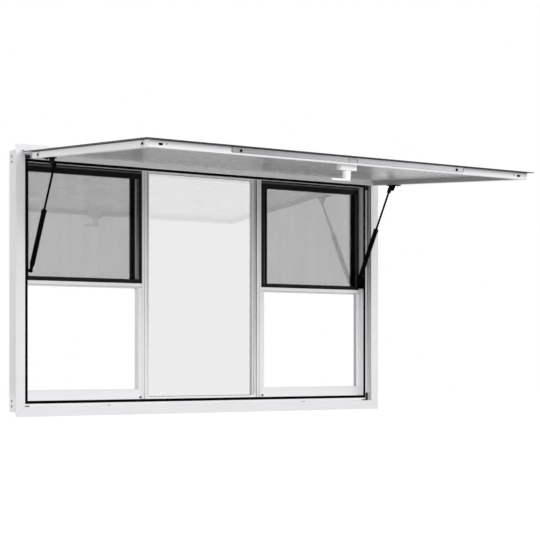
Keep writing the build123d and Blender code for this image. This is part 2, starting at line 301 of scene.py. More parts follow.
def new_group(name, inputs, outputs):
    group = bpy.data.node_groups.new(name, "ShaderNodeTree")
    for label, value in inputs:
        socket = group.interface.new_socket(label, in_out="INPUT", socket_type="NodeSocketFloat")
        socket.default_value = value
    for label in outputs:
        group.interface.new_socket(label, in_out="OUTPUT", socket_type="NodeSocketFloat")
    start = group.nodes.new("NodeGroupInput").outputs
    finish = group.nodes.new("NodeGroupOutput").inputs
    return group, start, finish


def place_group(tree, group, **values):
    node = tree.nodes.new("ShaderNodeGroup")
    node.node_tree = group
    for label, value in values.items():
        feed(tree, node.inputs[label], value)
    return node.outputs


def coat_skin_group():
    # Sprayed coat: fine orange peel, and a slow drift of tone.
    inputs = (("Peel", 700.0), ("Drift", 6.0))
    group, start, finish = new_group("coat skin", inputs, ("Height", "Tone"))
    place = object_place(group)
    feed(group, finish["Height"], noise_value(group, place, start["Peel"], detail=2.0))
    feed(group, finish["Tone"], noise_value(group, place, start["Drift"], detail=3.0))
    return group


def rubbed_group():
    # Handling marks: soft patches that dull or polish a surface.
    inputs = (("Size", 25.0), ("Amount", 0.5))
    group, start, finish = new_group("rubbed patches", inputs, ("Mask",))
    place = object_place(group)
    patches = noise_value(group, place, start["Size"], detail=5.0, roughness=0.65)
    mask = ramp_value(group, patches, 0.45, 0.7)
    feed(group, finish["Mask"], both(group, mask, start["Amount"]))
    return group


def drawn_grain_group():
    # Noise drawn out along one way: brushing, rolled lines, or the run of a weave.
    inputs = (("X", 1.0), ("Y", 1.0), ("Z", 1.0), ("Size", 1.0), ("Detail", 3.0))
    group, start, finish = new_group("drawn grain", inputs, ("Grain",))
    stretch = group.nodes.new("ShaderNodeCombineXYZ")
    for axis in ("X", "Y", "Z"):
        feed(group, stretch.inputs[axis], start[axis])
    drawn = group.nodes.new("ShaderNodeVectorMath")
    drawn.operation = "MULTIPLY"
    feed(group, drawn.inputs[0], object_place(group))
    feed(group, drawn.inputs[1], stretch.outputs["Vector"])
    grain = noise_value(group, drawn.outputs["Vector"], start["Size"], start["Detail"])
    feed(group, finish["Grain"], grain)
    return group


def rising_shade_group():
    # A mask that has one strength near the sill and another near the head.
    inputs = (("Mask", 1.0), ("Sill", 0.0), ("Head", 1.0))
    group, start, finish = new_group("rising shade", inputs, ("Mask",))
    low, high = FRAME_LOW.z + SHADE_OVER_SILL, FRAME_HIGH.z - SHADE_UNDER_HEAD
    rise = ramp_value(group, place_along(group, "Z"), low, high, start["Sill"], start["Head"])
    feed(group, finish["Mask"], both(group, start["Mask"], rise))
    return group


def painted_sill_light_group():
    # Painted light: white bars are painted lighter down by the sill.
    group, start, finish = new_group("painted sill light", (("Amount", 1.0),), ("Mask",))
    fade = ramp_value(group, place_along(group, "Z"), RAIL_LOW, RAIL_HIGH, 1.0, 0.0)
    feed(group, finish["Mask"], both(group, fade, start["Amount"]))
    return group


COAT_SKIN = coat_skin_group()
RUBBED = rubbed_group()
DRAWN_GRAIN = drawn_grain_group()
RISING_SHADE = rising_shade_group()
PAINTED_SILL_LIGHT = painted_sill_light_group()


def rising_shade(tree, mask, sill, head):
    return place_group(tree, RISING_SHADE, Mask=mask, Sill=sill, Head=head)["Mask"]


# Painted light, strongest at the sill.
def painted_sill_light(tree):
    return place_group(tree, PAINTED_SILL_LIGHT)["Mask"]


# Coats and surfaces. Tones that the studio light doesn't give are laid on by their place on the part:
# dark joints and grain, and much painted shade, painted light and painted sheen.

TONE_SPAN = (0.3, 0.7)
WHITE_LIGHT, WHITE_DARK = (0.86, 0.86, 0.875), (0.84, 0.841, 0.856)
# A lighter white: painted light where white parts would otherwise fall into shade.
PAINTED_LIGHT_WHITE, PAINTED_LIGHT_WHITE_DARK = (0.98, 0.98, 0.99), (0.965, 0.966, 0.976)
BLACK_LIGHT, BLACK_DARK = (0.009, 0.009, 0.010), (0.005, 0.005, 0.006)
MITRE_SHADE = (0.30, 0.30, 0.31)
# Painted shade for creases, steps and side walls; the rail's shade is a dark joint that also paints shadow.
JOINT_SHADE = (0.06, 0.06, 0.062)
RAIL_JOINT_SHADE = (0.07, 0.07, 0.072)
# Deep painted shade.
PAINTED_SHADE = (0.05, 0.05, 0.052)
# Painted shade on the flap's rails.
RAIL_PAINTED_SHADE = (0.10, 0.10, 0.105)
# Painted sheen on the black top rail.
PAINTED_SHEEN_GREY = (0.13, 0.13, 0.135)
SILVER = 0.25
WHITE_ROUGH = (0.34, 0.44)
PEEL_DEEP = 0.4 * MM


def new_material(name):
    material = bpy.data.materials.new(name)
    material.use_nodes = True
    tree = material.node_tree
    return material, tree, tree.nodes["Principled BSDF"]


def bump(tree, shader, height, strength, deep):
    node = tree.nodes.new("ShaderNodeBump")
    node.inputs["Strength"].default_value = strength
    node.inputs["Distance"].default_value = deep
    tree.links.new(height, node.inputs["Height"])
    tree.links.new(node.outputs["Normal"], shader.inputs["Normal"])


def rub_surface(tree, shader, size, rough):
    # Patches between two roughnesses. Returns their mask.
    mask = place_group(tree, RUBBED, Size=size, Amount=1.0)["Mask"]
    tree.links.new(ramp_value(tree, mask, 0.0, 1.0, *rough), shader.inputs["Roughness"])
    return mask


def mark(tree, shader, colour, *marks):
    # Each mark's shade lies over the coat where its mask says so.
    for mask, shade in marks:
        colour = mix_colours(tree, mask, colour, shade)
    tree.links.new(colour, shader.inputs["Base Color"])


def coated(
    name, light, dark, rough, peel=700.0, depth=0.12, drift=6.0, metal=0.0, shine=0.5
):
    # Returns the open material too, so that a piece's own marks can be laid over its colour.
    material, tree, shader = new_material(name)
    skin = place_group(tree, COAT_SKIN, Peel=peel, Drift=drift)
    colour = mix_colours(tree, ramp_value(tree, skin["Tone"], *TONE_SPAN), dark, light)
    rub_surface(tree, shader, size=18.0, rough=rough)
    mark(tree, shader, colour)
    shader.inputs["Metallic"].default_value = metal
    shader.inputs["Specular IOR Level"].default_value = shine
    bump(tree, shader, skin["Height"], depth, PEEL_DEEP)
    return material, tree, shader, colour


def open_white(name, light=WHITE_LIGHT, dark=WHITE_DARK, shine=0.5):
    return coated(name, light, dark, rough=WHITE_ROUGH, depth=0.05, metal=SILVER, shine=shine)


def open_black(name):
    return coated(
        name, BLACK_LIGHT, BLACK_DARK, rough=(0.32, 0.42), peel=800.0, depth=0.1, shine=0.12
    )


def frame_coat():
    # Hairline joints at the mitres, painted light at the foot, painted shade up the recess and reveal.
    material, tree, shader, colour = open_white("white frame coat")
    height = place_along(tree, "Z")
    to_side = math_node(tree, "SUBTRACT", FRAME_HIGH.x, from_middle(tree))
    to_sill = math_node(tree, "SUBTRACT", height, FRAME_LOW.z)
    to_head = math_node(tree, "SUBTRACT", FRAME_HIGH.z, height)
    mitre = distance(tree, to_side, math_node(tree, "MINIMUM", to_sill, to_head))
    hairline = ramp_value(tree, mitre, 0.3 * MM, 1.1 * MM, 0.35, 0.0)
    behind_flange = more(tree, place_along(tree, "Y"), 0.2 * MM)

    def wall_at(x):
        near = less(tree, distance(tree, from_middle(tree), x), 0.6 * MM)
        return both(tree, near, behind_flange)

    recess = wall_at(RECESS_X * MM)
    reveal = wall_at(INNER_X)
    mark(
        tree,
        shader,
        colour,
        (hairline, MITRE_SHADE),
        # Painted light near the sill and low on the reveal; painted shade higher up the recess and reveal.
        (both(tree, painted_sill_light(tree), behind_flange), PAINTED_LIGHT_WHITE),
        (rising_shade(tree, recess, sill=0.0, head=0.90), PAINTED_SHADE),
        (rising_shade(tree, reveal, sill=1.0, head=0.0), PAINTED_LIGHT_WHITE),
        (rising_shade(tree, reveal, sill=0.0, head=0.30), PAINTED_SHADE),
    )
    return material


def bottom_rail_coat():
    # The rails under the serving openings are painted lighter towards the sill, as painted light.
    material, tree, shader, colour = open_white("white bottom rail")
    mark(tree, shader, colour, (painted_sill_light(tree), PAINTED_LIGHT_WHITE))
    return material


def glazing_coat():
    # The glazing frame's outer step has painted shade, deeper higher up, and its foot painted light.
    material, tree, shader, colour = open_white("white glazing frame")
    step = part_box("centre_glass")[1].x + 1.5 * MM
    step_shade = rising_shade(tree, more(tree, from_middle(tree), step), sill=0.12, head=0.50)
    foot = less(tree, place_along(tree, "Z"), RAIL_LOW + 12.0 * MM)
    mark(tree, shader, colour, (step_shade, JOINT_SHADE), (foot, PAINTED_LIGHT_WHITE))
    return material


def mullion_coat():
    # Painted shade where it meets the glazing frame, deeper higher up, and in a line down its face.
    material, tree, shader, colour = open_white("white mullion")
    low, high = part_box("right_mullion")
    across = from_middle(tree)
    joint = rising_shade(tree, less(tree, across, low.x + 0.3 * MM), sill=0.25, head=0.85)
    face_line = less(tree, distance(tree, across, high.x - 8.8 * MM), 1.0 * MM)
    lines = either(tree, joint, both(tree, face_line, 0.35))
    mark(tree, shader, colour, (lines, JOINT_SHADE))
    return material


def track_coat():
    # The open side wall of the jamb's track carries painted shade; the track's white is painted light.
    material, tree, shader, colour = open_white("white jamb track", PAINTED_LIGHT_WHITE, PAINTED_LIGHT_WHITE_DARK)
    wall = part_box("right_jamb_track")[0].x + 0.4 * MM
    track_side_shade = both(tree, less(tree, from_middle(tree), wall), 0.5)
    mark(tree, shader, colour, (track_side_shade, JOINT_SHADE))
    return material


def transom_coat():
    # A line of painted shade along the transom's fold, close above its lower edge.
    material, tree, shader, colour = open_white("white transom")
    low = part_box("left_transom")[0]
    gap = distance(tree, place_along(tree, "Z"), low.z + 3.7 * MM)
    line = ramp_value(tree, gap, 1.2 * MM, 1.8 * MM, 0.45, 0.0)
    face = less(tree, place_along(tree, "Y"), low.y + 0.3 * MM)
    mark(tree, shader, colour, (both(tree, line, face), JOINT_SHADE))
    return material


def skin_coat():
    # White sheet; its cut edges and its underside are painted dark as painted shade.
    material, tree, shader, colour = open_white("white flap sheet", shine=0.2)
    cut = 0.4 * MM
    side_end = flap_reach("awning_skin", ACROSS)[1] - cut
    front_end = flap_reach("awning_skin", FLAP_OUT)[1] - cut
    under_side = flap_reach("awning_front_rail", FLAP_UP)[1] + 0.3 * MM
    across = math_node(tree, "ABSOLUTE", measured_along(tree, ACROSS))
    out = measured_along(tree, FLAP_OUT)
    edges = either(tree, more(tree, across, side_end), more(tree, out, front_end))
    under = less(tree, measured_along(tree, FLAP_UP), under_side)
    past_hook = more(tree, out, 45.0 * MM)
    dark = either(tree, edges, both(tree, under, past_hook))
    mark(tree, shader, colour, (dark, PAINTED_SHADE))
    return material


def rail_coat(name, light, dark, under_sheet_shade, inner_wall_shade):
    # The flap's rails: painted shade deepens towards the sheet, with a dark joint close under it that
    # also paints the sheet's shadow. The side rails' inner walls carry painted shade.
    material, tree, shader, colour = open_white(name, light, dark)
    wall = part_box("awning_right_rail")[0].x + 0.5 * MM
    top = flap_reach("awning_front_rail", FLAP_UP)[1]
    height = measured_along(tree, FLAP_UP)
    inner = both(tree, less(tree, from_middle(tree), wall), inner_wall_shade)
    under_sheet_mask = ramp_value(tree, height, top - 20.0 * MM, top - 3.0 * MM, 0.0, under_sheet_shade)
    joint = ramp_value(tree, height, top - 3.0 * MM, top - 1.6 * MM)
    marks = ((inner, RAIL_PAINTED_SHADE), (under_sheet_mask, RAIL_PAINTED_SHADE), (joint, RAIL_JOINT_SHADE))
    mark(tree, shader, colour, *marks)
    return material


def top_rail_coat():
    # Black rail over the sash; its lower lip carries a grey painted sheen.
    material, tree, shader, colour = open_black("black top rail")
    low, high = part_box("left_top_rail")
    middle = (low.z + high.z) / 2
    height = place_along(tree, "Z")
    lip = ramp_value(tree, height, middle - 0.6 * MM, middle + 0.2 * MM, 1.0, 0.0)
    mark(tree, shader, colour, (lip, PAINTED_SHEEN_GREY))
    return material


def sash_coat():
    # Black sash; the inner walls of its stiles, before and behind the glass, are painted grey as painted
    # shade, paler towards the foot as painted light.
    material, tree, shader, colour = open_black("black sash")
    low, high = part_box("right_sash_glass")
    grip, clear, skin, fade = 5.0 * MM, 5.5 * MM, 0.3 * MM, 250.0 * MM
    across = from_middle(tree)
    height = place_along(tree, "Z")
    between = both(tree, more(tree, height, low.z + clear), less(tree, height, high.z - clear))
    rise = ramp_value(tree, height, low.z, low.z + fade)
    marks = []
    for wall, foot, head in ((low.x + grip, 0.95, 0.28), (high.x - grip, 0.10, 0.10)):
        at_wall = less(tree, distance(tree, across, wall), skin)
        grey = mix_colours(tree, rise, (foot, foot, foot * 1.03), (head, head, head * 1.03))
        marks.append((both(tree, at_wall, between), grey))
    mark(tree, shader, colour, *marks)
    return material


def strip_satin():
    # Brushed strip along the front lip, its grain along the strip, and a painted sheen paler to the right.
    material, tree, shader = new_material("lip strip satin")
    grain = place_group(tree, DRAWN_GRAIN, X=6.0, Y=700.0, Z=700.0)["Grain"]
    left_end, right_end = -390.0 * MM, 334.0 * MM
    sheen = ramp_value(tree, place_along(tree, "X"), left_end, right_end)
    low = mix_colours(tree, sheen, (0.385, 0.377, 0.397), (0.655, 0.643, 0.675))
    high = mix_colours(tree, sheen, (0.415, 0.407, 0.427), (0.70, 0.688, 0.72))
    mark(tree, shader, low, (ramp_value(tree, grain, *TONE_SPAN), high))
    rub_surface(tree, shader, size=12.0, rough=(0.26, 0.36))
    shader.inputs["Metallic"].default_value = 0.75
    bump(tree, shader, grain, strength=0.03, deep=0.1 * MM)
    return material


def satin_sheet():
    # Satin grey sheet, rolled lines along its width.
    material, tree, shader = new_material("satin sheet")
    lines = place_group(tree, DRAWN_GRAIN, X=1.5, Y=260.0, Z=260.0)["Grain"]
    tone = ramp_value(tree, lines, *TONE_SPAN)
    colour = mix_colours(tree, tone, (0.575, 0.575, 0.582), (0.585, 0.585, 0.592))
    mark(tree, shader, colour)
    rub_surface(tree, shader, size=2.5, rough=(0.27, 0.28))
    shader.inputs["Metallic"].default_value = 0.15
    bump(tree, shader, lines, strength=0.002, deep=0.05 * MM)
    return material


def open_glass(name, light, dark, index, polish_index):
    material, tree, shader = new_material(name)
    mask = rub_surface(tree, shader, size=5.0, rough=(0.0, 0.003))
    mark(tree, shader, mix_colours(tree, mask, light, dark))
    shader.inputs["Transmission Weight"].default_value = 1.0
    shader.inputs["IOR"].default_value = index
    shader.inputs["Coat Weight"].default_value = 1.0
    shader.inputs["Coat IOR"].default_value = polish_index
    shader.inputs["Coat Roughness"].default_value = 0.0
    return material, tree, shader


def fixed_glass():
    light, dark = (0.91, 0.911, 0.914), (0.90, 0.901, 0.904)
    return open_glass("fixed window glass", light, dark, index=1.7, polish_index=1.95)[0]


def sash_glass():
    # A bright polish that stops at the pane's borders, so that the screen's black frame behind them
    # stays dark. The borders are shifted sideways by lean, for the photo's slanting view.
    light, dark = (0.79, 0.792, 0.794), (0.78, 0.782, 0.784)
    material, tree, shader = open_glass("sash glass", light, dark, index=1.1, polish_index=2.15)
    lean, near, far, top, fade = 0.008, 0.292, 0.681, 0.828, 0.0015
    reach = math_node(tree, "ABSOLUTE", math_node(tree, "ADD", place_along(tree, "X"), lean))
    inner = ramp_value(tree, reach, near - fade, near + fade)
    outer = ramp_value(tree, reach, far - fade, far + fade, 1.0, 0.0)
    under_top = ramp_value(tree, place_along(tree, "Z"), top - fade, top + fade, 1.0, 0.0)
    polish = both(tree, both(tree, inner, outer), under_top)
    tree.links.new(polish, shader.inputs["Coat Weight"])
    return material


def screen_weave():
    # Woven threads both ways, clear between them, a little closer in some upright bands.
    material, tree, shader = new_material("screen weave")
    pitch, uneven = 1.6 * MM, 0.008
    bands = place_group(tree, DRAWN_GRAIN, Z=0.04, Size=75.0, Detail=1.0)["Grain"]
    shift = ramp_value(tree, bands, *TONE_SPAN, -uneven, uneven)
    masks = []
    for axis in ("X", "Z"):
        steps = math_node(tree, "DIVIDE", place_along(tree, axis), pitch)
        middle = distance(tree, math_node(tree, "FRACT", steps), 0.5)
        shifted = math_node(tree, "ADD", middle, shift)
        masks.append(ramp_value(tree, shifted, 0.07, 0.13, 1.0, 0.0))
    thread = either(tree, *masks)
    tree.links.new(thread, shader.inputs["Alpha"])
    drift = noise_value(tree, object_place(tree), 9.0, detail=3.0)
    tone = ramp_value(tree, drift, *TONE_SPAN)
    mark(tree, shader, mix_colours(tree, tone, (0.15, 0.15, 0.155), (0.185, 0.185, 0.19)))
    shader.inputs["Roughness"].default_value = 0.55
    bump(tree, shader, thread, strength=0.5, deep=0.3 * MM)
    return material


def greys(light, dark, blue=0.0):
    return (light, light, light + blue), (dark, dark, dark + blue)


def plain(name, shades, **finish):
    return coated(name, *shades, **finish)[0]


WHITE = open_white("white coat")[0]
FRAME_WHITE = frame_coat()
SKIN_WHITE = skin_coat()
SATIN = satin_sheet()
BLACK = open_black("black coat")[0]
STRUT = plain(
    "strut black", greys(0.004, 0.002, 0.001), rough=(0.28, 0.38), peel=500.0, depth=0.05, shine=0.01
)
RUBBER = plain(
    "seal rubber", greys(0.004, 0.002), rough=(0.7, 0.85), peel=1500.0, depth=0.3, shine=0.03
)
NYLON = plain(
    "white nylon", greys(0.93, 0.90, -0.005), rough=(0.32, 0.42), peel=1200.0, depth=0.1, drift=30.0
)
HOLE = plain(
    "hole shade", greys(0.006, 0.003), rough=(0.8, 0.95), peel=900.0, depth=0.3, shine=0.03
)
BEAD = plain(
    "pale glazing bead", greys(0.72, 0.66, 0.01), rough=(0.4, 0.55), peel=1300.0, depth=0.2
)
STEEL = plain(
    "screw steel",
    greys(0.56, 0.46, 0.01),
    rough=(0.24, 0.4),
    peel=900.0,
    depth=0.06,
    drift=60.0,
    metal=1.0,
)
GLASS = fixed_glass()
SASH_GLASS = sash_glass()
WEAVE = screen_weave()
# The front rail has painted shade under the sheet; the side rails take the lighter white as painted light.
FRONT_RAIL = rail_coat("white front rail", WHITE_LIGHT, WHITE_DARK, under_sheet_shade=0.38, inner_wall_shade=0.0)
SIDE_RAIL = rail_coat("white side rail", PAINTED_LIGHT_WHITE, PAINTED_LIGHT_WHITE_DARK, under_sheet_shade=0.0, inner_wall_shade=0.62)
TOP_RAIL = top_rail_coat()
STRIP = strip_satin()
SASH = sash_coat()
GLAZING_WHITE = glazing_coat()
MULLION_WHITE = mullion_coat()
TRACK_WHITE = track_coat()
BOTTOM_RAIL = bottom_rail_coat()
TRANSOM_WHITE = transom_coat()
# Dark rubber for the lower plugs, and painted shade for the upper ones.
PLUG_RUBBER_AND_SHADE_BLOCK = plain(
    "corner plug rubber and shade block",
    ((0.055, 0.055, 0.057), (0.008, 0.008, 0.008)),
    rough=(0.6, 0.75),
    peel=900.0,
    depth=0.4,
    drift=240.0,
    shine=0.1,
)
JOINT = plain("joint grey", greys(0.36, 0.30, 0.01), rough=(0.5, 0.6), peel=900.0, depth=0.1)

SLOT_FINISH = {
    "white_aluminium": WHITE,
    "satin_aluminium": SATIN,
    "black_aluminium": BLACK,
    "black_steel": STRUT,
    "black_rubber": RUBBER,
    "insect_mesh": WEAVE,
    "clear_glass": GLASS,
}
OWN_FINISH = {
    "frame_head": FRAME_WHITE,
    "frame_sill": FRAME_WHITE,
    "awning_skin": SKIN_WHITE,
    "awning_front_rail": FRONT_RAIL,
    "centre_glazing_frame": GLAZING_WHITE,
    "latch_base": NYLON,
    "latch_handle": NYLON,
}
for side, way in SIDES:
    OWN_FINISH[f"frame_{side}_jamb"] = FRAME_WHITE
    OWN_FINISH[f"awning_{side}_rail"] = SIDE_RAIL
    OWN_FINISH[f"{side}_mullion"] = MULLION_WHITE
    OWN_FINISH[f"{side}_bottom_rail"] = BOTTOM_RAIL
    OWN_FINISH[f"{side}_jamb_track"] = TRACK_WHITE
    OWN_FINISH[f"{side}_transom"] = TRANSOM_WHITE
    OWN_FINISH[f"{side}_sash_frame"] = SASH
    OWN_FINISH[f"{side}_top_rail"] = TOP_RAIL
    OWN_FINISH[f"{side}_sash_glass"] = SASH_GLASS
for part in frame["record"]["subparts"]:
    node = nodes[part["node"]]
    finish = OWN_FINISH.get(part["node"], SLOT_FINISH[part["material_slot"]])
    node.data.materials.clear()
    node.data.materials.append(finish)

# Patterns for what repeats. Each is modelled once at the origin, facing up.

RIM_DEEP = 0.6 * MM
RIM_LIFT = 0.2 * MM
RIM_TOP = RIM_LIFT + RIM_DEEP / 2
HOLE_DEEP = 0.4 * MM


def socket_screw(name, radius, material):
    # A domed head with a six-lobed socket.
    points, lobe, high = 24, 0.62, radius * 0.55
    top = high * 0.99
    piece = start_disc(name, points, radius, high, high / 2, material, HOLE)
    begin_shaping(piece)
    pick(piece, "EDGE", lies_above(top))
    bpy.ops.mesh.bevel(offset=high * 0.6, segments=3, affect="EDGES")
    pick(piece, "FACE", lambda f: faces_up(f) and f.calc_center_median().z > top)
    bpy.ops.mesh.inset(thickness=radius * 0.2)
    mesh = bmesh.from_edit_mesh(piece.data)
    mesh.verts.index_update()
    crown = next(face for face in mesh.faces if face.select)
    ring = sorted(crown.verts, key=lambda v: math.atan2(v.co.y, v.co.x))
    lobes = {v.index for i, v in enumerate(ring) if i % 4 in (1, 2)}
    pick(piece, "VERT", lambda v: v.index in lobes)
    bpy.ops.transform.resize(value=(lobe, lobe, 1.0), center_override=(0, 0, 0))
    centred = radius * 0.01

    def socket_face(face):
        in_middle = face.calc_center_median().xy.length < centred
        return faces_up(face) and in_middle and len(face.verts) == points

    pick(piece, "FACE", socket_face)
    push(-high * 0.5)
    paint_picked(piece, 1)
    end_shaping()
    return smooth(piece)


def drilled_hole(name, radius, rim):
    # A dark hole with a thin raised burr round it.
    burr = radius * 0.18
    piece = start_disc(name, 32, radius + burr, RIM_DEEP, RIM_LIFT, rim, HOLE)
    begin_shaping(piece)
    pick(piece, "FACE", faces_up)
    bpy.ops.mesh.inset(thickness=burr)
    push(-HOLE_DEEP)
    paint_picked(piece, 1)

    def outer_edge(edge):
        outside = all(v.co.xy.length > radius * 1.1 for v in edge.verts)
        return outside and lies_above(RIM_TOP * 0.98)(edge)

    pick(piece, "EDGE", outer_edge)
    bpy.ops.mesh.bevel(offset=0.15 * MM, segments=2, affect="EDGES")
    end_shaping()
    return smooth(piece)


def milled_slot(name, long, wide, rim):
    # A round-ended slot: a disc's halves pulled apart to the slot's length, then sunk.
    lip = 0.5 * MM
    piece = start_disc(name, 32, wide / 2 + lip, RIM_DEEP, RIM_LIFT, rim, HOLE)
    begin_shaping(piece)
    for way in (1, -1):
        pick(piece, "VERT", lambda v: v.co.x * way > 1e-6)
        bpy.ops.transform.translate(value=(way * (long - wide) / 2, 0, 0))
    pick(piece, "FACE", faces_up)
    bpy.ops.mesh.inset(thickness=lip)
    push(-HOLE_DEEP)
    paint_picked(piece, 1)
    end_shaping()
    return smooth(piece)


def catch_plate(name, long, wide):
    # A thin plate with rounded corners that stands up out of a dark joint line.
    thick = 0.4 * MM
    piece = start_block(name, (long, wide, thick), (0, 0, 0), STRIP, JOINT)
    begin_shaping(piece)
    pick(piece, "EDGE", stands_upright(thick * 0.75))
    bpy.ops.mesh.bevel(offset=2.5 * MM, segments=4, affect="EDGES")
    pick(piece, "FACE", faces_up)
    paint_picked(piece, 1)
    bpy.ops.mesh.inset(thickness=0.8 * MM)
    paint_picked(piece, 0)
    push(0.5 * MM)
    bpy.ops.mesh.inset(thickness=0.5 * MM)
    bpy.ops.transform.translate(value=(0, 0, 0.2 * MM))
    end_shaping()
    return smooth(piece)


def lip_boss(name, radius):
    # A low round boss inside a fine grey ring.
    piece = start_disc(name, 40, radius, 0.4 * MM, 0, WHITE, JOINT)
    begin_shaping(piece)
    pick(piece, "FACE", faces_up)
    paint_picked(piece, 1)
    bpy.ops.mesh.inset(thickness=1.6 * MM)
    paint_picked(piece, 0)
    push(0.2 * MM)
    bpy.ops.mesh.inset(thickness=0.4 * MM)
    end_shaping()
    return smooth(piece)


def drain_lip(name, long, wide, high):
    # A small cover over a drain slot, its upper edges eased.
    piece = start_block(name, (long, wide, high), (0, 0, high / 2), JOINT)
    begin_shaping(piece)
    pick(piece, "EDGE", lies_above(high * 0.9))
    bpy.ops.mesh.bevel(offset=high * 0.45, segments=3, affect="EDGES")
    end_shaping()
    return smooth(piece)


def lip_strip(name, long, wide):
    # A flat bar, corners rounded, painted shadow at its ends, its face sunk a little inside a narrow rim.
    thick, rim, step, edge = 1.6 * MM, 0.5 * MM, 0.7 * MM, 0.4 * MM
    piece = start_block(name, (long, wide, thick), (0, 0, thick / 4), STRIP, HOLE)
    begin_shaping(piece)
    pick(piece, "EDGE", stands_upright(1.0 * MM))
    bpy.ops.mesh.bevel(offset=4.0 * MM, segments=5, affect="EDGES")
    pick(piece, "FACE", faces_up)
    bpy.ops.mesh.inset(thickness=rim)
    bpy.ops.transform.translate(value=(0, 0, 0.3 * MM))
    bpy.ops.mesh.inset(thickness=step)
    bpy.ops.mesh.inset(thickness=edge)
    bpy.ops.transform.translate(value=(0, 0, -0.5 * MM))
    end = long / 2 - 1.7 * MM
    # The ends take the hole's dark finish as painted shadow.
    pick(piece, "FACE", lambda f: abs(f.calc_center_median().x) > end)
    paint_picked(piece, 1)
    end_shaping()
    return smooth(piece)


def bumper_dome(name, radius, material):
    # A turned rubber button: a disc whose top is drawn in twice.
    piece = start_disc(name, 24, radius, radius * 0.5, radius * 0.25, material)
    begin_shaping(piece)
    for rise, share in ((0.28, 0.82), (0.14, 0.6)):
        pick(piece, "FACE", faces_up)
        push(radius * rise)
        bpy.ops.transform.resize(value=(share, share, 1.0))
    end_shaping()
    return smooth(piece, 50.0)


def turned_collar(name, inner, outer, long, material):
    # A rectangle with eased corners, spun round the strut's axis.
    middle = (inner + outer) / 2
    piece = start_sheet(name, outer - inner, long, (middle, 0, 0), material)
    begin_shaping(piece)
    pick(piece, "VERT", lambda v: v.co.x > middle)
    bpy.ops.mesh.bevel(offset=(outer - inner) * 0.55, segments=3, affect="VERTICES")
    bpy.ops.mesh.select_all(action="SELECT")
    bpy.ops.mesh.spin(steps=32, angle=2 * math.pi, center=(0, 0, 0), axis=UPWARD)
    bpy.ops.mesh.select_all(action="SELECT")
    bpy.ops.mesh.remove_doubles(threshold=1e-6)
    drop_profile(piece)
    bpy.ops.mesh.select_all(action="SELECT")
    bpy.ops.mesh.normals_make_consistent(inside=False)
    end_shaping()
    return smooth(piece)


def drop_profile(piece):
    # The profile's own face stays inside the spun ring, so it goes.
    def profile(face):
        flat = abs(face.normal.y) > 0.99 and abs(face.calc_center_median().y) < 1e-7
        return flat and len(face.verts) > 4

    pick(piece, "FACE", profile)
    bpy.ops.mesh.delete(type="FACE")


BRACKET_SCREW = socket_screw("bracket_screw", radius=4.0 * MM, material=STRUT)
PLATE_SCREW = socket_screw("plate_screw", radius=2.6 * MM, material=STEEL)
LIP_HOLE = milled_slot("lip_hole", long=13.5 * MM, wide=8.0 * MM, rim=WHITE)
JAMB_HOLE = drilled_hole("jamb_hole", radius=4.4 * MM, rim=WHITE)
PLATE_HOLE = drilled_hole("plate_hole", radius=2.2 * MM, rim=WHITE)
LIP_SLOT = milled_slot("lip_slot", long=15.0 * MM, wide=7.6 * MM, rim=WHITE)
STRIP_SCREW = socket_screw("strip_screw", radius=4.4 * MM, material=STRUT)
BAR = lip_strip("lip_strip", long=889.0 * MM, wide=16.8 * MM)
DRAIN_LIP = drain_lip("drain_lip", long=15.0 * MM, wide=3.0 * MM, high=2.2 * MM)
BOSS = lip_boss("lip_boss", radius=11.0 * MM)
PLATE = catch_plate("catch_plate", long=40.0 * MM, wide=11.0 * MM)
BUMPER = bumper_dome("bumper", radius=3.6 * MM, material=RUBBER)
COLLAR = turned_collar(
    "barrel_collar", inner=8.4 * MM, outer=9.4 * MM, long=12.0 * MM, material=STRUT
)
SOCKET = turned_collar(
    "rod_socket", inner=3.6 * MM, outer=7.2 * MM, long=10.0 * MM, material=STRUT
)
PATTERNS = (BRACKET_SCREW, PLATE_SCREW, STRIP_SCREW, LIP_HOLE, LIP_SLOT, JAMB_HOLE, PLATE_HOLE)
PATTERNS += (BAR, DRAIN_LIP, BOSS, PLATE, BUMPER, COLLAR, SOCKET)

# The flap's edges. Places are in millimetres: across, out from the hinge, and up from it.
LIP_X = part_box("awning_right_rail")[1].x / MM
FRONT_OUT = flap_reach("awning_front_rail", FLAP_OUT)[1] / MM
RAIL_UNDER = flap_reach("awning_front_rail", FLAP_UP)[0] / MM
LIP_MARKS = (("rear", 83.0), ("front", 807.0))
LIP_MARK_UP = -13.3
BOSS_PROUD = 0.5
FRONT_SLOT_X, FRONT_SLOT_UP = 684.0, -13.5
FRONT_SCREW_X, FRONT_SCREW_UP = 664.0, -12.5
STRIP_X, STRIP_UP, STRIP_PROUD = -1.5, -10.9, 1.0
STRIP_SCREW_X, STRIP_SCREW_UP = 414.0, -12.0
CATCH_X, CATCH_UP, CATCH_PROUD = -3.0, -12.0, 0.9
CATCH_HOLE_X = 14.0


def on_lip(x, up, proud=0.0):
    return facing(on_flap(x, FRONT_OUT + proud, up), FLAP_OUT, FLAP_UP)


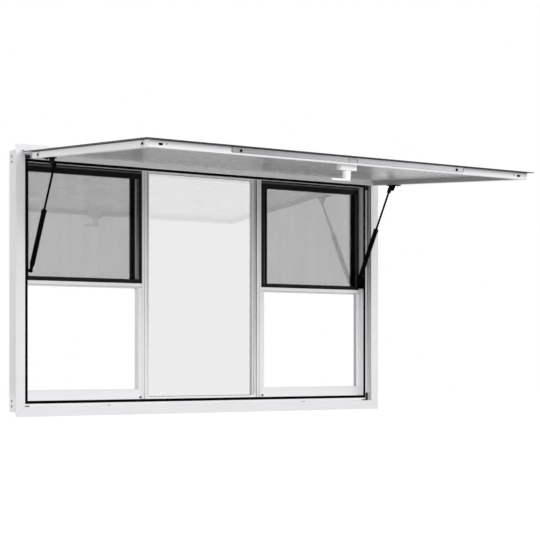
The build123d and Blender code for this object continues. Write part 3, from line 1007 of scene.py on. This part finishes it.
for side, way in SIDES:
    outward = ACROSS * way
    for label, out in LIP_MARKS:
        spot = on_flap(way * LIP_X, out, LIP_MARK_UP)
        place = facing(spot, outward, FLAP_UP)
        lay_copy(BOSS, f"{side}_{label}_lip_boss", place, "awning")
        place = facing(spot + outward * (BOSS_PROUD * MM), outward, FLAP_UP)
        lay_copy(LIP_HOLE, f"{side}_{label}_lip_hole", place, "awning")
    place = on_lip(way * FRONT_SLOT_X, FRONT_SLOT_UP)
    lay_copy(LIP_SLOT, f"{side}_front_slot", place, "awning")
    place = on_lip(way * FRONT_SCREW_X, FRONT_SCREW_UP)
    lay_copy(PLATE_SCREW, f"{side}_front_screw", place, "awning")
lay_copy(BAR, "front_lip_strip", on_lip(STRIP_X, STRIP_UP), "awning")
for side, way in SIDES:
    place = on_lip(way * STRIP_SCREW_X, STRIP_SCREW_UP, STRIP_PROUD)
    lay_copy(STRIP_SCREW, f"{side}_strip_screw", place, "awning")
place = on_lip(CATCH_X, CATCH_UP, STRIP_PROUD)
lay_copy(PLATE, "middle_catch_plate", place, "awning")
for side, way in SIDES:
    place = on_lip(CATCH_X + way * CATCH_HOLE_X, CATCH_UP, STRIP_PROUD + CATCH_PROUD)
    lay_copy(PLATE_HOLE, f"{side}_catch_hole", place, "awning")

# The frame's screw holes, drain lips and bumpers, in millimetres.
JAMB_SIDE_X = FRAME_HIGH.x / MM - 14.0
JAMB_HOLE_Y = 62.9
JAMB_HOLES = (("upper_a", 873.1), ("upper_b", 855.2), ("lower_a", 45.7), ("lower_b", 27.4))
DRAIN_X, DRAIN_Y, DRAIN_Z = 411.0, 1.5, 26.7
BUMPER_X, BUMPER_Z = 259.3, 51.7
for side, way in SIDES:
    for label, z in JAMB_HOLES:
        spot = Vector((way * JAMB_SIDE_X, JAMB_HOLE_Y, z)) * MM
        place = facing(spot, ACROSS * way, UPWARD)
        lay_copy(JAMB_HOLE, f"{side}_{label}_jamb_hole", place, "frame")
    place = facing(Vector((way * DRAIN_X, DRAIN_Y, DRAIN_Z)) * MM, UPWARD, INWARD)
    lay_copy(DRAIN_LIP, f"{side}_drain_lip", place, "frame")
    rail_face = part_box(f"{side}_bottom_rail")[0].y
    place = facing((way * BUMPER_X * MM, rail_face, BUMPER_Z * MM), -INWARD, UPWARD)
    lay_copy(BUMPER, f"{side}_bumper", place, "frame")

# Struts: places along the barrel, from its lower pivot, and on the flap, in millimetres.
COLLAR_UP = 216.9
SOCKET_DOWN = 11.0
PIVOT_OUT, PIVOT_UP = 152.8, -40.5
BRACKET_PLATE = 3.0
BRACKET_SCREWS = (("upper", 14.0, 13.0), ("lower", 8.0, -17.0))
LUG_SCREW_X = 712.0
LUG_SCREWS = (("rear", -24.0), ("front", 24.0))
LUG_PLATE = 3.4
for side, way in SIDES:
    low = Vector(joints[f"{side}_strut_turn"]["pos_m"])
    axis = Vector(joints[f"{side}_rod_slide"]["axis"]).normalized()
    place = facing(low + axis * COLLAR_UP * MM, axis, ACROSS)
    lay_copy(COLLAR, f"{side}_barrel_collar", place, f"{side}_cylinder")
    top = on_flap(low.x / MM, PIVOT_OUT, PIVOT_UP)
    place = facing(top - axis * SOCKET_DOWN * MM, axis, ACROSS)
    lay_copy(SOCKET, f"{side}_rod_socket", place, f"{side}_rod")
    plate_x = way * (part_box("right_strut_bracket")[1].x - BRACKET_PLATE * MM)
    for label, y, z in BRACKET_SCREWS:
        spot = (plate_x, low.y + y * MM, low.z + z * MM)
        place = facing(spot, ACROSS * -way, UPWARD)
        lay_copy(BRACKET_SCREW, f"{side}_{label}_bracket_screw", place, "frame")
    for label, out in LUG_SCREWS:
        spot = on_flap(way * LUG_SCREW_X, PIVOT_OUT + out, RAIL_UNDER - LUG_PLATE)
        place = facing(spot, -FLAP_UP, FLAP_OUT)
        lay_copy(BRACKET_SCREW, f"{side}_{label}_lug_screw", place, "awning")

# Latch screws.
LATCH_SCREW_X, LATCH_OUT, LATCH_UNDER = 24.0, 809.5, -41.0
for side, way in SIDES:
    spot = on_flap(way * LATCH_SCREW_X, LATCH_OUT, LATCH_UNDER)
    place = facing(spot, -FLAP_UP, FLAP_OUT)
    lay_copy(PLATE_SCREW, f"{side}_latch_screw", place, "awning")

for pattern in PATTERNS:
    bpy.data.objects.remove(pattern)

# Glazing gaskets, the cord that holds each screen, and the rubber round the recess.


def bead_frame(name, low, high, y, wide, deep, material):
    # A flat frame cut from one sheet, given its depth, its edges eased.
    middle = ((low.x + high.x) / 2, y, (low.z + high.z) / 2)
    piece = start_sheet(name, high.x - low.x, high.z - low.z, middle, material)
    begin_shaping(piece)
    bpy.ops.mesh.select_all(action="SELECT")
    bpy.ops.mesh.inset(thickness=wide)
    bpy.ops.mesh.delete(type="FACE")
    end_shaping()
    wall = piece.modifiers.new("depth", "SOLIDIFY")
    wall.thickness = deep
    wall.offset = -1.0
    ease = piece.modifiers.new("ease", "BEVEL")
    ease.width = min(wide, deep) * 0.35
    ease.segments = 2
    apply_all(piece)
    smooth(piece)
    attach(piece, "frame")


def corner_plug(name, way, across, height, deep, ease, leg_wide, leg):
    # A dark L in the recess's corner: a foot along the rail and a leg along the jamb.
    # Its sizes are in millimetres.
    leg_deep, skin = 3.5, 0.01
    spans = (across, deep, height)
    middle = [(low + high) / 2 * MM for low, high in spans]
    size = [(high - low) * MM for low, high in spans]
    piece = start_block(name, size, (way * middle[0], *middle[1:]), PLUG_RUBBER_AND_SHADE_BLOCK)
    leg_x = (across[1] - leg_wide) * MM
    leg_y = (deep[1] - leg_deep) * MM
    front = (deep[0] + skin) * MM
    begin_shaping(piece)
    bpy.ops.mesh.select_all(action="SELECT")
    bpy.ops.mesh.bisect(plane_co=(way * leg_x, 0, 0), plane_no=ACROSS)
    bpy.ops.mesh.select_all(action="SELECT")
    bpy.ops.mesh.bisect(plane_co=(0, leg_y, 0), plane_no=INWARD)

    def leg_end(face):
        centre = face.calc_center_median()
        faces_along = face.normal.z * math.copysign(1, leg) > 0.99
        return faces_along and abs(centre.x) > leg_x and centre.y > leg_y

    pick(piece, "FACE", leg_end)
    push(leg * MM)
    pick(piece, "EDGE", lambda e: all(v.co.y < front for v in e.verts))
    bpy.ops.mesh.bevel(offset=ease * MM, segments=2, affect="EDGES")
    end_shaping()
    smooth(piece)
    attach(piece, "frame")


GRIP = Vector((5.0 * MM, 0, 5.0 * MM))
CORD_REACH = GRIP * 0.4
LIP_IN = Vector((5.5 * MM, 0, 5.5 * MM))
TOP_GRIP = 1.5 * MM
for side, way in SIDES:
    low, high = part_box(f"{side}_sash_glass")
    low, high, front = low + GRIP, high - GRIP, low.y
    bead_frame(f"{side}_sash_gasket", low, high, front, wide=1.2 * MM, deep=1.5 * MM, material=RUBBER)
    low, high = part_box(f"{side}_screen_mesh")
    low, high = low - CORD_REACH, high + CORD_REACH
    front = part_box(f"{side}_screen_frame")[0].y
    bead_frame(f"{side}_screen_cord", low, high, front, wide=3.5 * MM, deep=0.8 * MM, material=RUBBER)
for side, way in SIDES:
    # The upper plugs are dark blocks put as painted shade in the recess's upper corners.
    corner_plug(
        f"{side}_upper_corner_shade_block",
        way,
        across=(706.5, RECESS_X),
        height=(RECESS_TOP - 9.0, RECESS_TOP),
        deep=(3.0, LEDGE_Y),
        ease=0.8,
        leg_wide=8.0,
        leg=-20.0,
    )
    corner_plug(
        f"{side}_lower_corner_plug",
        way,
        across=(702.0, RECESS_X - 1.0),
        height=(RECESS_LOW, RECESS_LOW + 3.0),
        deep=(18.5, LEDGE_Y),
        ease=0.5,
        leg_wide=6.5,
        leg=26.0,
    )
low, high, front = SEAL_LOW + LIP_IN, SEAL_HIGH - LIP_IN, SEAL_LOW.y - 0.1 * MM
bead_frame("seal_lip", low, high, front, wide=4.4 * MM, deep=1.2 * MM, material=RUBBER)
low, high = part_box("centre_glass")
front = low.y
low, high = low + GRIP, Vector((high.x - GRIP.x, 0, high.z - TOP_GRIP))
bead_frame("centre_gasket", low, high, front, wide=1.6 * MM, deep=1.5 * MM, material=BEAD)

# Floor, light and camera.

FLOOR_Z = -0.9
FLOOR_MIRRORED, FLOOR_WHITE = 0.4, 0.75
SKY_LEVEL = 0.33
LENS = 92.55
LENS_SHIFT_X, LENS_SHIFT_Y = 0.1485, 0.1614
CAMERA_SPOT = (-2.60836, -4.2931, 0.19409)
CAMERA_TURN = -math.radians(30.43)


def seen_as_white(tree, mirrored):
    # The camera sees a plain white studio: straight on, through the glass and in the coats.
    path = tree.nodes.new("ShaderNodeLightPath").outputs
    through = path["Is Transmission Ray"]
    direct = less(tree, path["Glossy Depth"], 0.5)
    seen = either(tree, path["Is Camera Ray"], both(tree, through, direct))
    coats = math_node(tree, "SUBTRACT", path["Is Glossy Ray"], through)
    return either(tree, seen, both(tree, coats, mirrored))


def studio_floor():
    bpy.ops.object.select_all(action="DESELECT")
    bpy.ops.mesh.primitive_plane_add(size=60.0, location=(0, 0, FLOOR_Z))
    floor = bpy.context.object
    floor.name = "studio_floor"
    material, tree, shader = new_material("pale floor")
    grain = noise_value(tree, object_place(tree), 3.0, detail=3.0)
    mark(tree, shader, mix_colours(tree, grain, (0.84, 0.84, 0.84), (0.86, 0.86, 0.86)))
    white = both(tree, seen_as_white(tree, FLOOR_MIRRORED), FLOOR_WHITE)
    shader.inputs["Roughness"].default_value = 0.9
    shader.inputs["Emission Color"].default_value = (1, 1, 1, 1)
    tree.links.new(white, shader.inputs["Emission Strength"])
    floor.data.materials.append(material)


def studio_world():
    world = bpy.data.worlds.new("white studio")
    bpy.context.scene.world = world
    world.use_nodes = True
    tree = world.node_tree
    sky = tree.nodes["Background"]
    sky.inputs["Color"].default_value = (1, 1, 1, 1)
    level = ramp_value(tree, seen_as_white(tree, 1.0), 0.0, 1.0, SKY_LEVEL, 1.0)
    tree.links.new(level, sky.inputs["Strength"])


def soft_lamp(name, spot, aim, wide, high, watts):
    lamp = bpy.data.lights.new(name, "AREA")
    lamp.energy = watts
    lamp.shape = "RECTANGLE"
    lamp.size = wide
    lamp.size_y = high
    holder = bpy.data.objects.new(name, lamp)
    bpy.context.scene.collection.objects.link(holder)
    holder.visible_camera = False
    holder.visible_transmission = False
    holder.visible_glossy = False
    holder.location = spot
    holder.rotation_euler = (Vector(aim) - Vector(spot)).to_track_quat("-Z", "Y").to_euler()


def photo_camera():
    lens = bpy.data.cameras.new("photo_camera")
    lens.sensor_width = 36.0
    lens.lens = LENS
    lens.shift_x = LENS_SHIFT_X
    lens.shift_y = LENS_SHIFT_Y
    lens.clip_end = 200.0
    holder = bpy.data.objects.new("photo_camera", lens)
    bpy.context.scene.collection.objects.link(holder)
    holder.location = CAMERA_SPOT
    holder.rotation_euler = (math.pi / 2, 0, CAMERA_TURN)
    bpy.context.scene.camera = holder


studio_floor()
studio_world()
soft_lamp("front_softbox", (0, -6.0, 2.5), (0, 0, 0.6), wide=7.0, high=3.2, watts=265.0)
soft_lamp("left_softbox", (-5.0, 1.2, 0.8), (-0.75, 0, 0.45), wide=3.0, high=3.0, watts=52.0)
photo_camera()
bpy.context.scene.view_settings.view_transform = "Standard"
